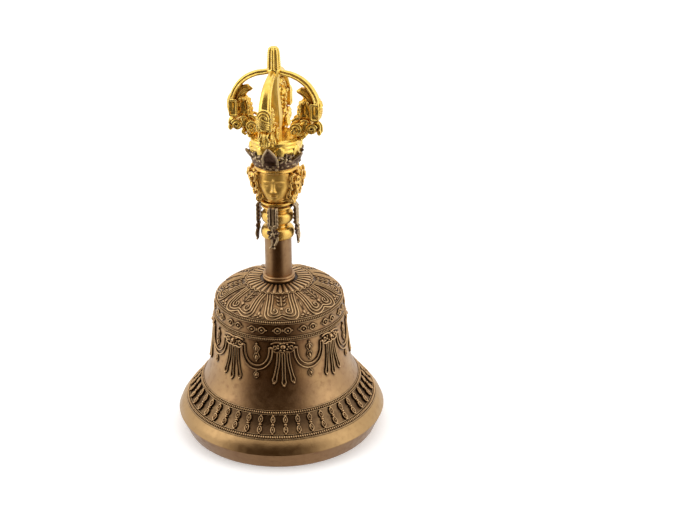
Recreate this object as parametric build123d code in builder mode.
"""A Tibetan hand bell (drilbu): a cast bronze bell, a stacked handle topped by a half vajra, and a hung clapper.

Millimetres. +Z is up, the origin is the centre of the mouth, and the face on the handle looks along -Y.
One long eye bolt clamps the whole stack: it rises from the clapper's eye, through the bell's crown and the
handle's castings, and screws into the vajra's seat.
"""

import os
from math import cos, radians, sin

from build123d import *

# ---- driving dimensions -------------------------------------------------------------------------------------
HEIGHT = 170.0          # mouth to the tip of the centre prong
MOUTH_R = 45.0          # widest point of the lip, at the crease
LIP_CREASE_Z = 7.6
FOOT_R = 41.7           # outer edge of the face the bell stands on
FOOT_INNER_R = 38.4
WAIST_R = 30.2          # where the straight wall turns into the flare
WAIST_Z = 32.0
SHOULDER_R = 27.2
SHOULDER_Z = 60.0
CROWN_Z = 68.0          # flat on top of the bell, where the handle stands
CROWN_UNDER_Z = 64.2    # flat under the crown, where the washer bears
CROWN_FLAT_R = 7.2
BEAD_R = 0.65           # section of the four beaded rings cast on the bell
BEAD_RINGS = ((27.3, SHOULDER_Z), (28.0, 52.8), (34.5, 21.6), (40.9, 13.5))

BOLT_R = 2.5            # M5 eye bolt
BOLT_HOLE_R = 2.6       # clearance hole through the stack
THREAD_R = 2.52         # tapped holes on the bolt
BOLT_TOP_Z = 129.5

STEM_R = 5.65
COLLAR_R = 6.85
COLLAR_TOP_Z = 70.6
STEM_TOP_Z = 87.6
BALUSTER_TOP_Z = 101.2
BALUSTER_R = 7.0
STRAP_RING_TOP_Z = 102.0
STRAP_TAB = 1.0         # thickness of a strap and of its clamped tab
NECK_Z = STRAP_RING_TOP_Z + STRAP_TAB
NECK_R = 7.0
HEAD_Z = 104.2
HEAD_TOP_Z = 120.3
HEAD_R = 8.5
HAIR_R = 12.5
FACE_OPENING = 110.0    # degrees left free of hair, centred on the face

STRAP_WIDTH = 3.9
STRAP_END_Z = 84.9
ROSETTE_Z = 92.0
ROSETTE_R = 2.6

PETALS = 5              # a tall one over the brow and four lower ones, with a rosette between each pair
PETAL_CROWN_R = 9.65    # at the crown's foot
PETAL_TIP_R = 12.5
PETAL_TIP_Z = 130.2
SIDE_TIP_Z = 127.2
PETAL_THICK = 1.1
SEAT_Z = 121.5
SEAT_TOP_Z = 132.5
SEAT_R = 10.4

CLAW_CENTRE_R = 3.2     # centre of the arc that a prong's centreline follows
CLAW_CENTRE_Z = 143.5
CLAW_ARC_R = 14.8
CLAW_ROOT_ARC_R = 9.8
CLAW_WIDE = 4.2
CLAW_THICK = 2.5
SNOUT_R = 2.3           # curled snout of the sea beast each prong rises from
SNOUT_AT = (18.0, 136.0)
NECKLINE = 3.2          # half the square collar that the four prongs meet at
CAST_TURN = -6.0        # the vajra and the straps are clamped this far round from the face
CLAWS = {"right": CAST_TURN, "back": 90 + CAST_TURN, "left": 180 + CAST_TURN, "front": 270 + CAST_TURN}

EYE_Z = 55.0            # centre of the bolt's eye
EYE_RING_R = 3.4
EYE_WIRE_R = 1.2
HANG_GAP = 0.15         # play where one loop hangs in another
LINK_WIRE_R = 0.9
LINK_HALF = 2.6         # half width of the link, to its wire's centre
LINK_LEG = 3.5
CLAPPER_RING_R = 2.9
CLAPPER_WIRE_R = 1.0
BULB_R = 6.2
BULB_LOW_Z = 4.5

os.makedirs("parts", exist_ok=True)


def save(part, name):
    """Labels one finished piece and writes it as parts/NAME.step."""
    part.label = name
    export_step(part, f"parts/{name}.step")


# ---- the bell -----------------------------------------------------------------------------------------------
with BuildPart() as bell_cup:
    with BuildSketch(Plane.XZ):
        with BuildLine():
            # outside: foot, crease of the lip, flare, wall, shoulder and domed crown
            Line((FOOT_INNER_R, 0), (FOOT_R, 0))
            Line((FOOT_R, 0), (MOUTH_R, LIP_CREASE_Z))
            Spline((MOUTH_R, LIP_CREASE_Z), (43.4, 10.9), (40.3, 14.0))
            Spline((40.3, 14.0), (36.9, 17.6), (34.2, 21.6))
            Spline((34.2, 21.6), (31.8, 26.6), (WAIST_R, WAIST_Z), (28.6, 43.0), (27.7, 52.8), (27.1, 59.4))
            Spline((27.1, 59.4), (25.6, 61.6), (20.0, 65.0), (13.0, 67.2), (CROWN_FLAT_R, CROWN_Z))
            Line((CROWN_FLAT_R, CROWN_Z), (BOLT_HOLE_R, CROWN_Z))
            Line((BOLT_HOLE_R, CROWN_Z), (BOLT_HOLE_R, CROWN_UNDER_Z))
            # inside, back down to the foot
            Line((BOLT_HOLE_R, CROWN_UNDER_Z), (CROWN_FLAT_R, CROWN_UNDER_Z))
            Spline((CROWN_FLAT_R, CROWN_UNDER_Z), (16.0, 62.4), (22.0, 58.8), (24.5, 53.0), (25.6, 43.0),
                   (27.3, WAIST_Z), (30.6, 22.0), (34.4, 14.0), (37.2, 7.0), (FOOT_INNER_R, 0))
        make_face()
    revolve(axis=Axis.Z)
    for ring_r, ring_z in BEAD_RINGS:
        with Locations((0, 0, ring_z)):
            Torus(ring_r, BEAD_R)
save(bell_cup.part, "bell_cup")

# ---- the handle, from the crown of the bell upwards -------------------------------------------------------------
with BuildPart() as stem_collar:
    with BuildSketch(Plane.XZ):
        with BuildLine():
            Polyline((STEM_R, CROWN_Z), (COLLAR_R - 0.5, CROWN_Z))
            ThreePointArc((COLLAR_R - 0.5, CROWN_Z), (COLLAR_R, CROWN_Z + 0.7), (COLLAR_R - 0.4, CROWN_Z + 1.4))
            ThreePointArc((COLLAR_R - 0.4, CROWN_Z + 1.4), (COLLAR_R - 0.1, CROWN_Z + 1.9),
                          (COLLAR_R - 0.6, COLLAR_TOP_Z))
            Polyline((COLLAR_R - 0.6, COLLAR_TOP_Z), (STEM_R, COLLAR_TOP_Z), (STEM_R, CROWN_Z))
        make_face()
    revolve(axis=Axis.Z)
save(stem_collar.part, "stem_collar")

with BuildPart() as stem_tube:
    with Locations((0, 0, CROWN_Z)):
        Cylinder(STEM_R, STEM_TOP_Z - CROWN_Z, align=(Align.CENTER, Align.CENTER, Align.MIN))
    with Locations((0, 0, STEM_TOP_Z)):
        Hole(BOLT_HOLE_R, depth=STEM_TOP_Z - CROWN_Z)
save(stem_tube.part, "stem_tube")

# two swellings with a waist between them
with BuildPart() as baluster:
    with BuildSketch(Plane.XZ):
        with BuildLine():
            outside = Spline((5.9, STEM_TOP_Z), (BALUSTER_R, 89.8), (6.4, 92.0), (4.8, 93.4), (6.0, 94.8),
                             (6.7, 97.0), (5.9, 99.4), (5.0, 100.3), (5.2, BALUSTER_TOP_Z))
            Polyline(outside @ 1, (BOLT_HOLE_R, BALUSTER_TOP_Z), (BOLT_HOLE_R, STEM_TOP_Z), outside @ 0)
        make_face()
    revolve(axis=Axis.Z)
save(baluster.part, "baluster")

with BuildPart() as strap_ring:
    with Locations((0, 0, BALUSTER_TOP_Z)):
        Cylinder(6.7, STRAP_RING_TOP_Z - BALUSTER_TOP_Z, align=(Align.CENTER, Align.CENTER, Align.MIN))
    with Locations((0, 0, STRAP_RING_TOP_Z)):
        Hole(BOLT_HOLE_R, depth=STRAP_RING_TOP_Z - BALUSTER_TOP_Z)
    fillet(strap_ring.edges().filter_by(GeomType.CIRCLE).sort_by(SortBy.RADIUS)[-2:], 0.3)
save(strap_ring.part, "strap_ring")

# a hanging strap: tab clamped under the neck, blade, rosette and pointed end
with BuildPart() as strap:
    with BuildSketch(Plane.XZ):
        with BuildLine():
            Polyline((5.3, NECK_Z), (7.6, NECK_Z), (8.2, 101.8), (8.4, 97.0), (8.5, 90.0),
                     (9.1, STRAP_END_Z + 0.4), (8.7, STRAP_END_Z), (7.3, 90.0), (7.2, 97.0),
                     (7.0, NECK_Z - STRAP_TAB), (5.3, NECK_Z - STRAP_TAB), (5.3, NECK_Z))
        make_face()
    extrude(amount=STRAP_WIDTH / 2, both=True)
    with Locations(Location((7.5, 0, ROSETTE_Z), (0, 90, 0))):
        Cylinder(ROSETTE_R, 1.7, align=(Align.CENTER, Align.CENTER, Align.MIN))
    with BuildSketch(Plane.YZ.offset(6.0)) as point_cut:
        for side in (-1, 1):
            with BuildLine():
                Polyline((side * 0.5, STRAP_END_Z - 1), (side * STRAP_WIDTH / 2, 89.0), (side * 4, 89.0),
                         (side * 4, STRAP_END_Z - 1), (side * 0.5, STRAP_END_Z - 1))
            make_face()
    extrude(amount=6.0, mode=Mode.SUBTRACT)
for side, angle in CLAWS.items():
    save(strap.part.rotate(Axis.Z, angle), f"strap_{side}")

with BuildPart() as neck_ring:
    with Locations((0, 0, NECK_Z)):
        Cylinder(NECK_R, HEAD_Z - NECK_Z, align=(Align.CENTER, Align.CENTER, Align.MIN))
    with Locations((0, 0, HEAD_Z)):
        Hole(BOLT_HOLE_R, depth=HEAD_Z - NECK_Z)
    fillet(neck_ring.edges().filter_by(GeomType.CIRCLE).sort_by(SortBy.RADIUS)[-2:], 0.4)
save(neck_ring.part, "neck_ring")

# the head: a tapered core that carries the face, and a mass of curled hair round its sides and back
with BuildPart() as head:
    with BuildSketch(Plane.XZ):
        with BuildLine():
            Spline((5.2, HEAD_Z), (6.6, 107.0), (8.0, 111.5), (HEAD_R, 116.5), (8.3, HEAD_TOP_Z))
            Polyline((8.3, HEAD_TOP_Z), (0, HEAD_TOP_Z), (0, HEAD_Z), (5.2, HEAD_Z))
        make_face()
    revolve(axis=Axis.Z)
    with BuildSketch(Plane.XZ.rotated((0, 0, FACE_OPENING / 2 - 90))):
        with BuildLine():
            Spline((4.0, 105.0), (9.4, 106.4), (11.2, 110.5), (HAIR_R, 115.5), (11.6, 118.4), (7.0, 119.8))
            Polyline((7.0, 119.8), (4.0, 119.8), (4.0, 105.0))
        make_face()
    revolve(axis=Axis.Z, revolution_arc=360 - FACE_OPENING)
    with Locations((0, 0, HEAD_TOP_Z)):
        Hole(BOLT_HOLE_R, depth=HEAD_TOP_Z - HEAD_Z)
save(head.part, "head")

# ---- the half vajra --------------------------------------------------------------------------------------------
# a bowl with a floor under the seat, its brim cut into petals and the rosettes between them
def brim_cut(half_outline):
    """A radial cut through the brim, from one half of its lower outline."""
    top = PETAL_TIP_Z + 0.5
    line = [(-y, z) for y, z in half_outline[::-1]] + half_outline[1:]
    with BuildPart() as cut:
        with BuildSketch(Plane.YZ.offset(7.0)):
            with BuildLine():
                Polyline(*line, (line[-1][0], top), (line[0][0], top), line[0])
            make_face()
        extrude(amount=8.0)
    return cut.part


notch = brim_cut([(0, 125.9), (1.7, 125.5), (2.9, 124.6), (3.7, 123.6), (4.1, 125.6), (4.9, 127.8), (6.0, 129.4), (7.0, 130.4)])
shoulder_cut = brim_cut([(0, SIDE_TIP_Z), (1.2, 126.6), (2.3, 125.5), (3.2, 124.2)])
with BuildPart() as petal_crown:
    with BuildSketch(Plane.XZ):
        with BuildLine():
            outside = Spline((PETAL_CROWN_R, HEAD_TOP_Z), (11.2, 123.4), (11.9, 126.6), (PETAL_TIP_R, PETAL_TIP_Z))
            brim = Line(outside @ 1, (PETAL_TIP_R - PETAL_THICK, PETAL_TIP_Z))
            inside = Spline(brim @ 1, (10.9, 126.6), (10.1, 123.6), (8.6, SEAT_Z))
            Polyline(inside @ 1, (BOLT_HOLE_R, SEAT_Z), (BOLT_HOLE_R, HEAD_TOP_Z), outside @ 0)
        make_face()
    revolve(axis=Axis.Z)
    with PolarLocations(0, PETALS, start_angle=CAST_TURN - 90 + 180 / PETALS):
        add(notch, mode=Mode.SUBTRACT)
    for petal in range(1, PETALS):
        with Locations(Rotation(0, 0, CAST_TURN - 90 + petal * 360 / PETALS)):
            add(shoulder_cut, mode=Mode.SUBTRACT)
save(petal_crown.part, "petal_crown")

with BuildPart() as seat:
    with BuildSketch(Plane.XZ):
        with BuildLine():
            Spline((8.2, SEAT_Z), (9.6, 124.2), (SEAT_R, 127.6), (SEAT_R, 130.4), (9.6, SEAT_TOP_Z))
            Polyline((9.6, SEAT_TOP_Z), (0, SEAT_TOP_Z), (0, SEAT_Z), (8.2, SEAT_Z))
        make_face()
    revolve(axis=Axis.Z)
    with BuildSketch(Plane.XY.offset(SEAT_Z)):
        Circle(THREAD_R)
    extrude(amount=BOLT_TOP_Z + 0.5 - SEAT_Z + 0.2, mode=Mode.SUBTRACT)
save(seat.part, "vajra_seat")

with BuildPart() as beast_head:
    with Locations(Location((14.6, 0, 138.6), (0, -38, 0))):
        Box(8.2, 5.6, 7.4)
    fillet(beast_head.edges(), 1.2)

# one claw: a prong bent over from the seat to the collar, with the beast's head and curled snout on it
with BuildPart() as claw:
    with BuildLine(Plane.XZ) as claw_path:
        outer = (CLAW_CENTRE_R + CLAW_ARC_R, CLAW_CENTRE_Z)
        root_r = outer[0] - CLAW_ROOT_ARC_R
        bend = radians(-45)
        ThreePointArc((root_r, CLAW_CENTRE_Z - CLAW_ROOT_ARC_R),
                      (root_r + CLAW_ROOT_ARC_R * cos(bend), CLAW_CENTRE_Z + CLAW_ROOT_ARC_R * sin(bend)), outer)
        ThreePointArc(outer, (CLAW_CENTRE_R + CLAW_ARC_R * cos(-bend), CLAW_CENTRE_Z + CLAW_ARC_R * sin(-bend)),
                      (CLAW_CENTRE_R, CLAW_CENTRE_Z + CLAW_ARC_R))
    with BuildSketch(Plane.YZ.offset(root_r)):
        with Locations((0, CLAW_CENTRE_Z - CLAW_ROOT_ARC_R)):
            RectangleRounded(CLAW_WIDE, CLAW_THICK, 0.9)
    sweep()
    add(beast_head.part)
    with Locations(Location((SNOUT_AT[0], 0, SNOUT_AT[1]), (90, 0, 0))):
        Cylinder(SNOUT_R, 5.2)
    with Locations((0, 0, SEAT_TOP_Z - 10)):
        Box(60, 60, 20, mode=Mode.SUBTRACT, align=(Align.CENTER, Align.CENTER, Align.CENTER))
for side, angle in CLAWS.items():
    save(claw.part.rotate(Axis.Z, angle), f"claw_{side}")

with BuildPart() as centre_prong:
    # (height, half width) of the square sections, from the seat to the tip
    for lower, upper in (((SEAT_TOP_Z, 3.0), (136.5, 1.9)), ((136.5, 1.9), (146.0, 2.9)), ((146.0, 2.9), (156.6, 2.1)),
                         ((156.6, 2.1), (157.0, NECKLINE)), ((157.0, NECKLINE), (159.8, NECKLINE)),
                         ((159.8, NECKLINE), (160.6, 2.6)), ((160.6, 2.6), (168.2, 2.1)), ((168.2, 2.1), (HEIGHT, 1.0))):
        for level, half in (lower, upper):
            with BuildSketch(Plane.XY.offset(level)):
                Rectangle(2 * half, 2 * half, rotation=CAST_TURN)
        loft()
save(centre_prong.part, "centre_prong")

# ---- the bolt, and the clapper hung from it ---------------------------------------------------------------------
with BuildPart() as eye_bolt:
    with Locations(Location((0, 0, EYE_Z), (0, 90, 0))):
        Torus(EYE_RING_R, EYE_WIRE_R)
    with Locations((0, 0, EYE_Z + EYE_RING_R)):
        Cylinder(BOLT_R, BOLT_TOP_Z - EYE_Z - EYE_RING_R, align=(Align.CENTER, Align.CENTER, Align.MIN))
    chamfer(eye_bolt.edges().filter_by(GeomType.CIRCLE).sort_by(Axis.Z)[-1], 0.5)
save(eye_bolt.part, "eye_bolt")

with BuildPart() as crown_washer:
    with BuildSketch(Plane.XY.offset(CROWN_UNDER_Z - 1.0)):
        Circle(6.0)
        Circle(BOLT_HOLE_R, mode=Mode.SUBTRACT)
    extrude(amount=1.0)
save(crown_washer.part, "crown_washer")

with BuildPart() as crown_nut:
    with BuildSketch(Plane.XY.offset(CROWN_UNDER_Z - 1.0 - 3.2)):
        RegularPolygon(4.0, 6, major_radius=False)
        Circle(THREAD_R, mode=Mode.SUBTRACT)
    extrude(amount=3.2)
save(crown_nut.part, "crown_nut")

link_pivot_z = EYE_Z - EYE_RING_R
link_top_z = link_pivot_z + EYE_WIRE_R + LINK_WIRE_R + HANG_GAP
link_arc_z = link_top_z - LINK_HALF
with BuildPart() as link:
    with BuildLine(Plane.XZ):
        Line((LINK_HALF, link_arc_z), (LINK_HALF, link_arc_z - LINK_LEG))
        ThreePointArc((LINK_HALF, link_arc_z - LINK_LEG), (0, link_arc_z - LINK_LEG - LINK_HALF),
                      (-LINK_HALF, link_arc_z - LINK_LEG))
        Line((-LINK_HALF, link_arc_z - LINK_LEG), (-LINK_HALF, link_arc_z))
        ThreePointArc((-LINK_HALF, link_arc_z), (0, link_top_z), (LINK_HALF, link_arc_z))
    with BuildSketch(Plane.XY.offset(link_arc_z)):
        with Locations((LINK_HALF, 0)):
            Circle(LINK_WIRE_R)
    sweep()
save(link.part, "clapper_link")

clapper_pivot_z = link_arc_z - LINK_LEG - LINK_HALF
ring_z = clapper_pivot_z + LINK_WIRE_R + CLAPPER_WIRE_R + HANG_GAP - CLAPPER_RING_R
with BuildPart() as clapper_rod:
    with Locations(Location((0, 0, ring_z), (0, 90, 0))):
        Torus(CLAPPER_RING_R, CLAPPER_WIRE_R)
    rod_top_z = ring_z - CLAPPER_RING_R
    with BuildSketch(Plane.XZ):
        with BuildLine():
            Polyline((0, rod_top_z), (1.5, rod_top_z), (2.0, 20.0), (2.0, BULB_LOW_Z - 0.6), (0, BULB_LOW_Z - 0.6),
                     (0, rod_top_z))
        make_face()
    revolve(axis=Axis.Z)
save(clapper_rod.part, "clapper_rod")

with BuildPart() as clapper_bulb:
    for lower, upper in (((BULB_LOW_Z, 4.2), (8.0, BULB_R)), ((8.0, BULB_R), (11.0, BULB_R)),
                         ((11.0, BULB_R), (20.0, 2.9))):
        for level, across in (lower, upper):
            with BuildSketch(Plane.XY.offset(level)):
                RegularPolygon(across, 8)
        loft()
    with BuildSketch(Plane.XY.offset(BULB_LOW_Z)):
        Circle(2.0)
    extrude(amount=16.0, mode=Mode.SUBTRACT)
save(clapper_bulb.part, "clapper_bulb")

print("link pivot z", round(link_pivot_z, 3), "clapper pivot z", round(clapper_pivot_z, 3))
